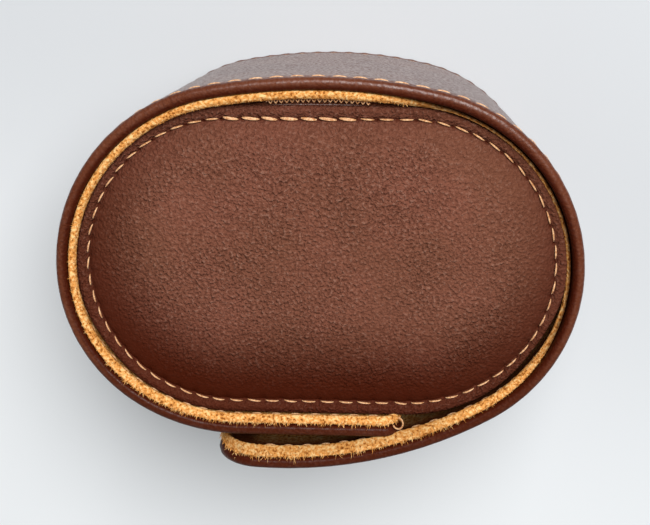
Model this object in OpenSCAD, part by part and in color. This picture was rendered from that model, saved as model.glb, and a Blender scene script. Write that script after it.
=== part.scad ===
// Oval watch travel case, made as a leather wrap round a padded drum.
// It stands on one end: the drum's axis is Z, the spine is on +Y and the two flaps close on -Y.
// A place on the wrap is given by its length along the wrap from the middle of the spine:
// positive clockwise, as far as the outer flap's tip, and negative to the inner flap's tip.

/* [Case] */
// Width across the wrap
case_width = 105.6; // [96:0.1:116]
// Height of the wrap, along the drum's axis
case_height = 76; // [66:0.5:90]
// From the widest line to the back of the spine
back_depth = 39; // [37:0.1:42]
// From the widest line to the front of the inner flap
front_depth = 34.6; // [34:0.1:38]

/* [Wrap] */
// How much tighter the back left bend is than a round back
back_left_ease = 1.3; // [0.8:0.1:3]
// How much tighter the back right bend is than a round back
back_right_ease = 1.8; // [0.8:0.1:3]
// How much tighter the front left bend is than a round front
front_left_ease = 0.7; // [0.4:0.1:2]
// How much tighter the front right bend is than the outer flap's depth
front_right_ease = 7; // [5:0.1:9]
// Length of the ease from the front left bend into the straight inner flap, seen from the front
front_left_reach = 2.6; // [1:0.1:5]
// Gap along the case between the inner flap's tip and the outer flap's lining
inner_tip_gap = 0.8; // [0.6:0.1:6]
// From the middle to the outer flap's tip, on the left
outer_tip_reach = 21.7; // [14:0.1:24]
// Angle by which the outer flap's tip turns in towards the inner flap
tip_turn_in = 2.6; // [0:0.1:4]
// Radius of the outer flap's two corners
outer_corner = 9; // [3:0.5:14]
// Radius of the inner flap's two corners
inner_corner = 4; // [2:0.5:10]

/* [Layers] */
// Outer leather
leather_t = 0.8; // [0.6:0.1:1]
// Stiff board behind the leather
board_t = 0.6; // [0.5:0.1:1]
// Felt between the turned hems, as thick as a hem
felt_t = 0.8; // [0.6:0.1:1.2]
// Suede lining of the wrap
lining_t = 1.15; // [0.8:0.05:1.6]
// Width of the hem that is turned in at each edge
hem_width = 9; // [6:0.5:12]
// How far the lining stays back from the wrap's edge
lining_inset = 0.5; // [0.2:0.1:1.5]

/* [Drum ends] */
// How far each drum end lies inside the wrap's edge
end_recess = 2.9; // [2:0.1:5]
// Gap between the drum ends and the lining at the two sides
end_side_gap = 0.5; // [0.4:0.05:1.2]
// Gap between the drum ends and the lining of the inner flap
end_front_gap = 1.1; // [0.8:0.05:2]
// Gap between the drum ends and the spine's lining, filled by the spine pad
spine_gap = 3.5; // [3:0.1:6]
// Leather of the drum ends and their collars
end_leather_t = 1.2; // [0.8:0.1:1.6]
// Length of the collar round the drum, at the back and sides
collar_length = 12; // [9:0.5:18]
// Foam under a drum end's face
end_foam_t = 2.6; // [1.5:0.1:4]
// Board under the foam
end_board_t = 2; // [1.5:0.1:3]
// Lining on the inside of a drum end
end_lining_t = 0.9; // [0.6:0.1:1.4]
// How far the spine pad stays back from the shoulder creases
pad_side_gap = 2; // [1:0.5:8]
// How far the spine pad stays inside the drum ends' faces
pad_inset = 1; // [0.5:0.1:3]
// How high the padded face rises over its rim
face_rise = 1.9; // [0.8:0.1:2]
// Distance of the padded rise from the rim
face_rise_inset = 3.2; // [2.6:0.1:6]

/* [Cradle and pillow] */
// Board of the cradle
cradle_t = 1.8; // [1.2:0.1:2.5]
// Suede lining of the cradle
cradle_lining_t = 0.9; // [0.6:0.1:1.4]
// How far in front of the widest line the cradle's sides reach
cradle_reach = 12; // [6:0.5:18]
// Width of the pillow
pillow_width = 64; // [50:0.5:70]
// Depth of the pillow
pillow_depth = 45; // [36:0.5:46]
// Gap between the pillow and what is round it
pillow_gap = 0.4; // [0.3:0.05:0.8]
// Radius of the pillow's long edges
pillow_bend = 18; // [12:0.5:20]
// Radius of the pillow's inner core at its long edges
pillow_core_bend = 6; // [4:0.5:10]
// Suede cover of the pillow
pillow_cover_t = 1.2; // [0.8:0.1:1.6]
// Thickness of the pillow's end discs
pillow_end_t = 2; // [1.5:0.1:3]

/* [Joints] */
// Length along the wrap from the spine's middle to a shoulder crease
shoulder_at = 28; // [25:0.5:32]
// Length along the wrap from the spine's middle to a front crease
crease_at = 99; // [95:0.5:103]
// Gap between two stretches of the wrap at a crease
crease_gap = 0.6; // [0.4:0.1:1.2]

/* [Stitching] */
// Thickness of the thread
thread = 0.6; // [0.4:0.05:0.8]
// Length of one stitch on a drum end
end_stitch = 2.9; // [2:0.1:3.2]
// Distance from one stitch to the next on a drum end
end_pitch = 3.65; // [3.3:0.05:5]
// Distance of the stitches from a drum end's rim
end_stitch_inset = 1.6; // [1.2:0.1:2.2]
// Length of one stitch on the wrap
wrap_stitch = 3.2; // [2.4:0.1:3.6]
// Distance from one stitch to the next on the wrap
wrap_pitch = 4.06; // [3.8:0.02:6]
// Distance of the stitches from the wrap's edges
wrap_stitch_inset = 3; // [2:0.1:5]
// Length of one stitch of the fine spine seam
seam_stitch = 0.7; // [0.4:0.05:0.8]
// Distance from one stitch to the next in the spine seam
seam_pitch = 1.1; // [0.9:0.05:2]
// Half the length of the spine seam
seam_reach = 10; // [6:0.5:14]

/* [Snaps] */
// Distance of the snaps from the middle, to the left
snap_offset = 8; // [2:0.5:9]
// Distance between the two snaps along the drum's axis
snap_spacing = 34; // [26:0.5:36]
// Diameter of a snap's cap
cap_d = 12.4; // [10:0.1:15]
// Height of a snap's cap
cap_h = 1.5; // [1:0.1:2.5]
// Diameter of a snap's socket and stud plates
plate_d = 10; // [8:0.1:12]
// Thickness of a snap's plates
plate_t = 0.6; // [0.4:0.1:0.8]
// Diameter of a stud's ball
ball_d = 3.6; // [3:0.1:4]
// Gap round the ball in its socket
ball_gap = 1.3; // [1.2:0.1:1.8]
// Diameter of the shaft that passes through the layers
shaft_d = 3; // [2:0.1:3.4]
// Gap between a closed snap's socket and its stud plate
snap_gap = 0.3; // [0.2:0.05:0.6]
// Gap under a socket, which lets it sit on the curved lining
socket_seat = 0.15; // [0.1:0.05:0.3]
// How far the outer flap stands off the inner flap at the snaps
flap_gap = 4.3; // [3.2:0.1:4.5]

/* [Hidden] */
$fn = 48;

brown = "#74483a";
suede = "#dd9f60";
thread_cream = "#f4cf9f";
brass = "#8f7440";
board_grey = "#b5a793";
felt_grey = "#8b8580";
foam_cream = "#efe6cf";

// Layers of the wrap by their depth under its outer face
hem_depth = leather_t + board_t;
lining_depth = hem_depth + felt_t;
wrap_t = lining_depth + lining_t;

// The case's box, from the snap caps to the spine's stitches, is centred on the origin,
// so the widest line lies off the middle
half_width = case_width / 2;
outer_depth = front_depth + wrap_t + flap_gap;
widest_y = (outer_depth + cap_h - back_depth - thread / 2) / 2;
back_y = widest_y + back_depth;
inner_flap_y = widest_y - front_depth;
step = 3;

// A quarter of an oval, as a wide arc and a bend that meet without a corner.
// It is [radius of the wide arc, its turn, radius of the bend, its turn].
function quarter(width, depth, bend) =
    let (
        u = width - bend,
        wide = (u * u + depth * depth - bend * bend) / (2 * (depth - bend)),
        turn = atan2(u, wide - depth)
    )
    [wide, turn, bend, 90 - turn];

// A leg of a path is [length, curvature]. Paths turn clockwise.
function arc_leg(radius, turn) = [PI * radius * turn / 180, 1 / radius];

// Where a walk of a given length ends, as [x, y, heading]
function walk(p, length, curvature) =
    curvature == 0
        ? [p.x + length * cos(p.z), p.y + length * sin(p.z), p.z]
        : let (heading = p.z - length * curvature * 180 / PI)
            [p.x + (sin(p.z) - sin(heading)) / curvature,
             p.y - (cos(p.z) - cos(heading)) / curvature,
             heading];
function along(legs, s, p, i = 0) =
    i == len(legs) - 1 || s <= legs[i][0]
        ? walk(p, s, legs[i][1])
        : along(legs, s - legs[i][0], walk(p, legs[i][0], legs[i][1]), i + 1);
function total(legs, i = 0) = i == len(legs) ? 0 : legs[i][0] + total(legs, i + 1);

// The right-hand branch of the wrap, up to the outer flap's tip. The outer flap is lowest at
// the snaps, where it runs straight across, and turns in a little towards its tip.
back_right = quarter(half_width, back_depth, back_depth - back_right_ease);
front_right = quarter(half_width + snap_offset, outer_depth, outer_depth - front_right_ease);
turn_in_width = front_right[0] * sin(tip_turn_in);
outer_legs = [
    arc_leg(back_right[0], back_right[1]),
    arc_leg(back_right[2], back_right[3]),
    arc_leg(front_right[2], front_right[3]),
    arc_leg(front_right[0], front_right[1] + tip_turn_in),
    [outer_tip_reach - snap_offset - turn_in_width, 0]
];
outer_length = total(outer_legs);

// The left-hand branch, drawn as its mirror image, up to the inner flap's tip. The tip stops
// before the place where the outer flap's lining crosses the inner flap's outer face.
front_left_bend = front_depth - front_left_ease;
flap_straight_from = half_width - front_left_bend - front_left_reach;
lining_radius = front_right[0] - wrap_t;
crossing_height = front_right[0] - (outer_depth - front_depth);
crossing_x = sqrt(pow(lining_radius, 2) - pow(crossing_height, 2)) - snap_offset;
inner_tip_reach = crossing_x - inner_tip_gap;
back_left = quarter(half_width, back_depth, back_depth - back_left_ease);
front_left = quarter(half_width - flap_straight_from, front_depth, front_left_bend);
inner_legs = [
    arc_leg(back_left[0], back_left[1]),
    arc_leg(back_left[2], back_left[3]),
    arc_leg(front_left[2], front_left[3]),
    arc_leg(front_left[0], front_left[1]),
    [flap_straight_from + inner_tip_reach, 0]
];
inner_length = total(inner_legs);
spine_middle = [0, back_y, 0];

// A place on the wrap as [x, y, heading], for a length s of either sign
function place(s) =
    s >= 0
        ? along(outer_legs, s, spine_middle)
        : let (p = along(inner_legs, -s, spine_middle)) [-p.x, p.y, -p.z];

// A point at a depth under the wrap's outer face
function under(s, depth) =
    let (p = place(s))
    [p.x + depth * sin(p.z), p.y - depth * cos(p.z)];

// The band of the wrap between two lengths and two depths. Its corners lie at whole steps
// along the wrap, so that the faces of neighbouring layers coincide.
module band(from, to, outer, inner) {
    inside = [for (i = [ceil(from / step + 0.01):ceil(to / step - 0.01) - 1]) i * step];
    stations = concat([from], inside, [to]);
    polygon(concat(
        [for (s = stations) under(s, outer)],
        [for (i = [len(stations) - 1:-1:0]) under(stations[i], inner)]
    ));
}
module slab(from, to, outer, inner, bottom, height) {
    translate([0, 0, bottom])
        linear_extrude(height)
            band(from, to, outer, inner);
}

// Stands a child on the wrap, with X along the wrap and Z along the outward normal
module on_wrap(s, depth, z) {
    p = place(s);
    translate([p.x + depth * sin(p.z), p.y - depth * cos(p.z), z])
        rotate([0, 0, p.z])
            rotate([-90, 0, 0])
                children();
}

// The stretches of the wrap: [from, to, radius of the corners at from, and at to]
spine = [-shoulder_at + crease_gap / 2, shoulder_at - crease_gap / 2, 0, 0];
outer_side = [shoulder_at + crease_gap / 2, crease_at - crease_gap / 2, 0, 0];
outer_flap = [crease_at + crease_gap / 2, outer_length, 0, outer_corner];
inner_side = [-crease_at + crease_gap / 2, -shoulder_at - crease_gap / 2, 0, 0];
inner_flap = [-inner_length, -crease_at - crease_gap / 2, inner_corner, 0];

// The ends of a stretch with a margin taken off at a tip, where it has one
function from_end(stretch, margin) = stretch[0] + (stretch[2] > 0 ? margin : 0);
function to_end(stretch, margin) = stretch[1] - (stretch[3] > 0 ? margin : 0);
function corner(stretch) = max(stretch[2], stretch[3]);
function tip_hem(stretch) = max(hem_width, corner(stretch));

// What a flap's tip loses at its two corners, in a layer that stays back from the edges
module tip_corners(stretch, back) {
    r = corner(stretch);
    reach = 2 * wrap_t;
    towards = stretch[3] > 0 ? 1 : -1;
    centre = towards > 0 ? stretch[1] - back - r : stretch[0] + back + r;
    if (r > 0)
        for (end = [0, 1])
            translate([0, 0, end * case_height])
                mirror([0, 0, end])
                    on_wrap(centre, 0, back)
                        mirror([towards > 0 ? 0 : 1, 0, 0])
                            translate([0, -r, -reach])
                                difference() {
                                    cube([r + 1, r + 1, 2 * reach]);
                                    cylinder(r = r, h = 2 * reach);
                                }
}

// Leather, turned in round the board at the two long edges and at a tip, with a flat hem
module stretch_leather(stretch) {
    from = stretch[0];
    to = stretch[1];
    difference() {
        union() {
            slab(from, to, 0, leather_t, 0, case_height);
            for (z = [0, case_height - leather_t])
                slab(from, to, leather_t, hem_depth, z, leather_t);
            for (z = [0, case_height - hem_width])
                slab(from, to, hem_depth, lining_depth, z, hem_width);
            if (corner(stretch) > 0) {
                tip = stretch[3] > 0 ? to : from;
                board_end = tip == to ? to - corner(stretch) : from + corner(stretch);
                felt_end = tip == to ? to - tip_hem(stretch) : from + tip_hem(stretch);
                slab(min(tip, board_end), max(tip, board_end), leather_t, hem_depth,
                     0, case_height);
                slab(min(tip, felt_end), max(tip, felt_end), hem_depth, lining_depth,
                     0, case_height);
            }
        }
        tip_corners(stretch, 0);
        children();
    }
}
module stretch_board(stretch) {
    back = corner(stretch);
    difference() {
        slab(from_end(stretch, back), to_end(stretch, back), leather_t, hem_depth,
             leather_t, case_height - 2 * leather_t);
        children();
    }
}
module stretch_felt(stretch) {
    back = tip_hem(stretch);
    difference() {
        slab(from_end(stretch, back), to_end(stretch, back), hem_depth, lining_depth,
             hem_width, case_height - 2 * hem_width);
        children();
    }
}
module stretch_lining(stretch) {
    difference() {
        slab(from_end(stretch, lining_inset), to_end(stretch, lining_inset),
             lining_depth, wrap_t, lining_inset, case_height - 2 * lining_inset);
        tip_corners(stretch, lining_inset);
        children();
    }
}

// Stitches along both edges of a stretch, and across the tip of a flap
module one_stitch(s, z, length, turn) {
    on_wrap(s, 0, z)
        rotate([0, 0, turn])
            translate([-length / 2, -thread / 2, 0])
                cube([length, thread, thread / 2]);
}
module stretch_stitches(stretch) {
    back = max(corner(stretch), wrap_stitch_inset);
    first = from_end(stretch, back) + wrap_stitch / 2;
    last = to_end(stretch, back) - wrap_stitch / 2;
    for (i = [ceil(first / wrap_pitch):floor(last / wrap_pitch)],
         z = [wrap_stitch_inset, case_height - wrap_stitch_inset])
        one_stitch(i * wrap_pitch, z, wrap_stitch, 0);
    if (corner(stretch) > 0) {
        tip = stretch[3] > 0 ? stretch[1] - wrap_stitch_inset : stretch[0] + wrap_stitch_inset;
        rows = floor((case_height - 2 * back) / wrap_pitch);
        for (i = [0:rows - 1])
            one_stitch(tip, case_height / 2 + (i - (rows - 1) / 2) * wrap_pitch, wrap_stitch, 90);
    }
}

// The outline of a drum end: a stadium with straight back and front, drawn inwards by an inset
end_half_width = half_width - wrap_t - end_side_gap;
end_back_y = back_y - wrap_t - spine_gap;
end_front_y = inner_flap_y + wrap_t + end_front_gap;
end_bend = (end_back_y - end_front_y) / 2;
end_middle_y = (end_back_y + end_front_y) / 2;
end_legs = [
    [end_half_width - end_bend, 0],
    arc_leg(end_bend, 180),
    [end_half_width - end_bend, 0]
];
end_start = [0, end_back_y, 0];
end_length = total(end_legs);
function end_points(inset) =
    let (
        steps = ceil(end_length / step),
        half = [for (i = [0:steps])
            let (p = along(end_legs, end_length * i / steps, end_start))
            [p.x + inset * sin(p.z), p.y - inset * cos(p.z)]]
    )
    concat(half, [for (i = [steps - 1:-1:1]) [-half[i].x, half[i].y]]);
module end_outline(inset) {
    polygon(end_points(inset));
}

// Heights of a drum end's layers, measured from the wrap's edge downwards
face_under = end_recess + end_leather_t;
foam_under = face_under + end_foam_t;
board_under = foam_under + end_board_t;
lining_under = board_under + end_lining_t;

// What is cut away so that the drum is open towards the flaps
module open_front(height) {
    translate([-case_width, widest_y - cradle_reach - case_width, 0])
        cube([2 * case_width, case_width, height]);
}

// The two ends are the same, so the base end is the top end turned over
module at_end(top) {
    translate([0, 0, top ? case_height : 0])
        mirror([0, 0, top ? 1 : 0])
            children();
}
// The padded rise, as a tapered solid over the rim
module rise(inset, height, from) {
    translate([0, end_middle_y, from])
        mirror([0, 0, 1])
            linear_extrude(height, scale = 1 - 2 * height / end_half_width)
                translate([0, -end_middle_y])
                    end_outline(inset);
}
module end_face(top) {
    color(brown)
        at_end(top)
            difference() {
                union() {
                    translate([0, 0, end_recess])
                        linear_extrude(collar_length)
                            end_outline(0);
                    rise(face_rise_inset, face_rise, end_recess + 0.01);
                }
                translate([0, 0, face_under])
                    linear_extrude(collar_length)
                        end_outline(end_leather_t);
                rise(face_rise_inset + end_leather_t, face_rise, face_under);
                translate([0, 0, lining_under])
                    open_front(collar_length);
            }
}
module end_foam(top) {
    color(foam_cream)
        at_end(top) {
            translate([0, 0, face_under])
                linear_extrude(end_foam_t)
                    end_outline(end_leather_t);
            rise(face_rise_inset + end_leather_t, face_rise, face_under);
        }
}
module end_board(top) {
    color(board_grey)
        at_end(top)
            translate([0, 0, foam_under])
                linear_extrude(end_board_t)
                    end_outline(end_leather_t);
}
module end_lining(top) {
    color(suede)
        at_end(top)
            translate([0, 0, board_under])
                linear_extrude(end_lining_t)
                    end_outline(end_leather_t);
}
module end_stitches(top) {
    ring = 2 * end_length;
    count = round((ring - 2 * PI * end_stitch_inset) / end_pitch);
    color(thread_cream)
        at_end(top)
            for (i = [0:count - 1]) {
                s = ring * (i + 0.5) / count;
                right = s < end_length;
                p = along(end_legs, right ? s : ring - s, end_start);
                mirror([right ? 0 : 1, 0, 0])
                    translate([p.x + end_stitch_inset * sin(p.z),
                               p.y - end_stitch_inset * cos(p.z), end_recess - thread / 2])
                        rotate([0, 0, p.z])
                            translate([-end_stitch / 2, -thread / 2, 0])
                                cube([end_stitch, thread, thread / 2]);
            }
}

// The cradle: a board tray along the drum's back and sides, open at the front
cradle_bottom = lining_under;
cradle_height = case_height - 2 * lining_under;
module tray(outer, inner) {
    translate([0, 0, cradle_bottom])
        difference() {
            linear_extrude(cradle_height)
                difference() {
                    end_outline(outer);
                    end_outline(inner);
                }
            translate([0, 0, -1])
                open_front(cradle_height + 2);
        }
}
module cradle_shell() {
    color(board_grey)
        tray(end_leather_t, end_leather_t + cradle_t);
}
module cradle_lining() {
    color(suede)
        tray(end_leather_t + cradle_t, end_leather_t + cradle_t + cradle_lining_t);
}

// The pad on the spine that carries the drum, and the fine seam beside it
pad_reach = shoulder_at - crease_gap - pad_side_gap;
module spine_pad() {
    color(brown)
        translate([0, 0, end_recess + pad_inset])
            linear_extrude(case_height - 2 * (end_recess + pad_inset))
                difference() {
                    band(-pad_reach, pad_reach, wrap_t, wrap_t + 2 * spine_gap);
                    end_outline(0);
                }
}
module spine_seam_stitches() {
    count = floor(seam_reach / seam_pitch);
    y = back_y - wrap_t - spine_gap / 2;
    color(thread_cream)
        for (z = [end_recess + pad_inset - thread / 2, case_height - end_recess - pad_inset],
             i = [-count:count])
            translate([i * seam_pitch - seam_stitch / 2, y - thread, z])
                cube([seam_stitch, 2 * thread, thread / 2]);
}

// The snaps: two pairs, one above the other
snap_s = total([for (i = [0:2]) outer_legs[i]]) + arc_leg(front_right[0], front_right[1])[0];
snap_inner_s = inner_tip_reach + snap_offset - inner_length;
module at_snaps() {
    for (side = [-1, 1])
        translate([0, 0, case_height / 2 + side * snap_spacing / 2])
            children();
}
module outer_snap_hole() {
    at_snaps()
        on_wrap(snap_s, wrap_t + 1, 0)
            cylinder(d = shaft_d, h = wrap_t + 2);
}
module inner_snap_hole() {
    at_snaps()
        on_wrap(snap_inner_s, wrap_t + 1, 0)
            cylinder(d = shaft_d, h = wrap_t + 2);
}
module snap_caps() {
    color(brass)
        at_snaps()
            on_wrap(snap_s, 0, 0) {
                intersection() {
                    cylinder(d = cap_d, h = cap_h);
                    translate([0, 0, cap_h - cap_d])
                        sphere(r = cap_d);
                }
                translate([0, 0, -wrap_t - socket_seat])
                    cylinder(d = shaft_d, h = wrap_t + socket_seat);
            }
}
socket_h = flap_gap - plate_t - snap_gap - socket_seat;
module snap_sockets() {
    color(brass)
        at_snaps()
            on_wrap(snap_s, wrap_t + socket_seat, 0)
                mirror([0, 0, 1])
                    difference() {
                        cylinder(d = plate_d, h = socket_h);
                        translate([0, 0, plate_t])
                            cylinder(d = ball_d + 2 * ball_gap, h = socket_h);
                    }
}
module snap_studs() {
    color(brass)
        at_snaps()
            on_wrap(snap_inner_s, 0, 0) {
                cylinder(d = plate_d, h = plate_t);
                cylinder(d = ball_d, h = plate_t + snap_gap + ball_d / 3);
            }
}
module snap_posts() {
    color(brass)
        at_snaps()
            on_wrap(snap_inner_s, 0, 0) {
                translate([0, 0, -wrap_t])
                    cylinder(d = shaft_d, h = wrap_t);
                translate([0, 0, -wrap_t - plate_t])
                    cylinder(d = plate_d, h = plate_t);
            }
}

// The pillow: a stuffed suede cushion with stiff end discs, which lifts out at the front
pillow_back_y = end_back_y - end_leather_t - cradle_t - cradle_lining_t - pillow_gap;
pillow_bottom = lining_under + pillow_gap;
pillow_height = case_height - 2 * pillow_bottom;
pillow_core_inset = pillow_bend - pillow_core_bend;
module pillow_outline(inset) {
    width = pillow_width - 2 * pillow_bend;
    depth = pillow_depth - 2 * pillow_bend;
    translate([0, pillow_back_y - pillow_depth / 2]) {
        square([width, pillow_depth - 2 * inset], center = true);
        square([pillow_width - 2 * inset, depth], center = true);
        for (x = [-1, 1], y = [-1, 1])
            translate([x * width / 2, y * depth / 2])
                circle(r = pillow_bend - inset);
    }
}
module pillow_cover() {
    color(suede)
        translate([0, 0, pillow_bottom + pillow_end_t])
            linear_extrude(pillow_height - 2 * pillow_end_t)
                difference() {
                    pillow_outline(0);
                    pillow_outline(pillow_cover_t);
                }
}
module pillow_foam() {
    color(foam_cream)
        translate([0, 0, pillow_bottom + pillow_end_t])
            linear_extrude(pillow_height - 2 * pillow_end_t)
                difference() {
                    pillow_outline(pillow_cover_t);
                    pillow_outline(pillow_core_inset);
                }
}
module pillow_core() {
    color(board_grey)
        translate([0, 0, pillow_bottom + pillow_end_t])
            linear_extrude(pillow_height - 2 * pillow_end_t)
                pillow_outline(pillow_core_inset);
}
module pillow_ends() {
    color(brown)
        for (z = [pillow_bottom, pillow_bottom + pillow_height - pillow_end_t])
            translate([0, 0, z])
                linear_extrude(pillow_end_t)
                    pillow_outline(0);
}

// The five stretches of the wrap
module spine_leather() {
    color(brown)
        stretch_leather(spine);
}
module spine_board() {
    color(board_grey)
        stretch_board(spine);
}
module spine_felt() {
    color(felt_grey)
        stretch_felt(spine);
}
module spine_lining() {
    color(suede)
        stretch_lining(spine);
}
module spine_stitches() {
    color(thread_cream)
        stretch_stitches(spine);
}
module outer_side_leather() {
    color(brown)
        stretch_leather(outer_side);
}
module outer_side_board() {
    color(board_grey)
        stretch_board(outer_side);
}
module outer_side_felt() {
    color(felt_grey)
        stretch_felt(outer_side);
}
module outer_side_lining() {
    color(suede)
        stretch_lining(outer_side);
}
module outer_side_stitches() {
    color(thread_cream)
        stretch_stitches(outer_side);
}
module outer_flap_leather() {
    color(brown)
        stretch_leather(outer_flap)
            outer_snap_hole();
}
module outer_flap_board() {
    color(board_grey)
        stretch_board(outer_flap)
            outer_snap_hole();
}
module outer_flap_felt() {
    color(felt_grey)
        stretch_felt(outer_flap)
            outer_snap_hole();
}
module outer_flap_lining() {
    color(suede)
        stretch_lining(outer_flap)
            outer_snap_hole();
}
module outer_flap_stitches() {
    color(thread_cream)
        stretch_stitches(outer_flap);
}
module inner_side_leather() {
    color(brown)
        stretch_leather(inner_side);
}
module inner_side_board() {
    color(board_grey)
        stretch_board(inner_side);
}
module inner_side_felt() {
    color(felt_grey)
        stretch_felt(inner_side);
}
module inner_side_lining() {
    color(suede)
        stretch_lining(inner_side);
}
module inner_side_stitches() {
    color(thread_cream)
        stretch_stitches(inner_side);
}
module inner_flap_leather() {
    color(brown)
        stretch_leather(inner_flap)
            inner_snap_hole();
}
module inner_flap_board() {
    color(board_grey)
        stretch_board(inner_flap)
            inner_snap_hole();
}
module inner_flap_felt() {
    color(felt_grey)
        stretch_felt(inner_flap)
            inner_snap_hole();
}
module inner_flap_lining() {
    color(suede)
        stretch_lining(inner_flap)
            inner_snap_hole();
}
module inner_flap_stitches() {
    color(thread_cream)
        stretch_stitches(inner_flap);
}

spine_leather();
spine_board();
spine_felt();
spine_lining();
spine_stitches();
spine_pad();
spine_seam_stitches();
cradle_shell();
cradle_lining();
end_face(true);  // top_end_face
end_foam(true);  // top_end_foam
end_board(true);  // top_end_board
end_lining(true);  // top_end_lining
end_stitches(true);  // top_end_stitches
end_face(false);  // base_end_face
end_foam(false);  // base_end_foam
end_board(false);  // base_end_board
end_lining(false);  // base_end_lining
end_stitches(false);  // base_end_stitches
outer_side_leather();
outer_side_board();
outer_side_felt();
outer_side_lining();
outer_side_stitches();
outer_flap_leather();
outer_flap_board();
outer_flap_felt();
outer_flap_lining();
outer_flap_stitches();
inner_side_leather();
inner_side_board();
inner_side_felt();
inner_side_lining();
inner_side_stitches();
inner_flap_leather();
inner_flap_board();
inner_flap_felt();
inner_flap_lining();
inner_flap_stitches();
snap_caps();
snap_sockets();
snap_studs();
snap_posts();
pillow_cover();
pillow_foam();
pillow_ends();
pillow_core();
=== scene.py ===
# %% [markdown]
# # An oval travel case for a watch
# The case stands on one end. A leather wrap with a suede lining goes round a padded drum:
# its spine is at the back and its two flaps close over each other at the front. Inside the
# drum lies a stuffed pillow that carries the watch. Each piece below is drawn in metres, in
# the place where the case has it.

# %% Start from the frame
import functools
import math
import random

import bmesh
import bpy
from mathutils import Matrix, Vector, noise
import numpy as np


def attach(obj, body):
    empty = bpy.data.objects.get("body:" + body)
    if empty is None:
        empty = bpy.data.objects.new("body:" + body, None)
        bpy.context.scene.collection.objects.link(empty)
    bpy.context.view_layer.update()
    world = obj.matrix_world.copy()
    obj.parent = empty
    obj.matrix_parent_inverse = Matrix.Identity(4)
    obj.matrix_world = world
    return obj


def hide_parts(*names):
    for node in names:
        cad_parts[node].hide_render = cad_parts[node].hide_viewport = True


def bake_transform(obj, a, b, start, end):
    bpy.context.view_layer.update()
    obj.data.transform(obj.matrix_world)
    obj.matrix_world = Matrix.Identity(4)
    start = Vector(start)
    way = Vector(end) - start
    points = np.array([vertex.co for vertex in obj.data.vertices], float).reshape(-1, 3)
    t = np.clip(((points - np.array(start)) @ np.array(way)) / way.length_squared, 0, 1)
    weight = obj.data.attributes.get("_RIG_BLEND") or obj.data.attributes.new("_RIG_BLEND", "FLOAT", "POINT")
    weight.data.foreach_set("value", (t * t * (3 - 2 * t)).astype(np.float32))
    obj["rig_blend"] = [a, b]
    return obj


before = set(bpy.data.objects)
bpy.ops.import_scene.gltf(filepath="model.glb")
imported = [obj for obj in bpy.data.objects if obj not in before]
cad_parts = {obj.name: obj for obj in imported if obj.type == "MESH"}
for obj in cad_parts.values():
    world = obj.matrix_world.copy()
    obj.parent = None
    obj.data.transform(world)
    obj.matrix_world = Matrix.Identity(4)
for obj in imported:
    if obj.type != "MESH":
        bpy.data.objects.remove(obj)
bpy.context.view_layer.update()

mm = 0.001


def add_object(name, data):
    """A new object with the given mesh, lamp or camera, linked to the scene."""
    made = bpy.data.objects.new(name, data)
    bpy.context.scene.collection.objects.link(made)
    return made


# %% [markdown]
# ## Camera
# The picture looks down on the end of the drum, a little from the back, so the far side of
# the spine shows too. A camera can be turned by hand until it fits, or it can be given the
# directions of its own right and up. The second way says exactly where it stands, so the
# view stays the same when the scene is built again.

# %% Camera
eye = Vector((11.44, 59.19, 284.0)) * mm
picture_right = Vector((0.9988, 0.0027, -0.0483))
picture_up = Vector((-0.0148, 0.9676, -0.2519))
lens = bpy.data.cameras.new("camera")
lens.sensor_width = 36
lens.lens = 60.07
lens.clip_start = 1 * mm
camera = add_object("camera", lens)
turn = Matrix((picture_right, picture_up, picture_right.cross(picture_up))).transposed()
camera.matrix_world = Matrix.Translation(eye) @ turn.to_4x4()
bpy.context.scene.camera = camera

# %% [markdown]
# ## Colours and node trees
# Colours are easier to choose as the eight-bit values that a paint program shows, but
# shaders add light in linear numbers, so each colour is converted first. Shader maths is
# easier to read as sums than as rows of nodes: a small class wraps one output socket, and
# its plus, minus and times signs add the Math nodes.


# %% Colours
def ink(hexadecimal):
    """The linear colour of an eight-bit one, such as 'c08040'."""
    values = [int(hexadecimal[i:i + 2], 16) / 255 for i in (0, 2, 4)]
    return tuple(v / 12.92 if v <= 0.04045 else ((v + 0.055) / 1.055) ** 2.4
                 for v in values) + (1.0,)


print("mid grey is", round(ink("808080")[0], 3), "in linear light")


# %% Wires
def plug(tree, hole, value):
    """Links a wire to an input, or writes a plain value on it."""
    if isinstance(value, Wire):
        tree.links.new(value.socket, hole)
    else:
        hole.default_value = value


class Wire:
    """One output socket; sums of wires and numbers become Math nodes."""

    def __init__(self, tree, socket):
        self.tree, self.socket = tree, socket

    def maths(self, operation, *values):
        node = self.tree.nodes.new("ShaderNodeMath")
        node.operation = operation
        for hole, value in zip(node.inputs, (self, *values)):
            plug(self.tree, hole, value)
        return Wire(self.tree, node.outputs[0])

    def __add__(self, other):
        return self.maths("ADD", other)

    __radd__ = __add__

    def __mul__(self, other):
        return self.maths("MULTIPLY", other)

    __rmul__ = __mul__

    def __sub__(self, other):
        return self.maths("SUBTRACT", other)

    def __rsub__(self, other):
        return self.maths("MULTIPLY_ADD", -1.0, other)


print("signs that a wire knows: + - *")


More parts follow.
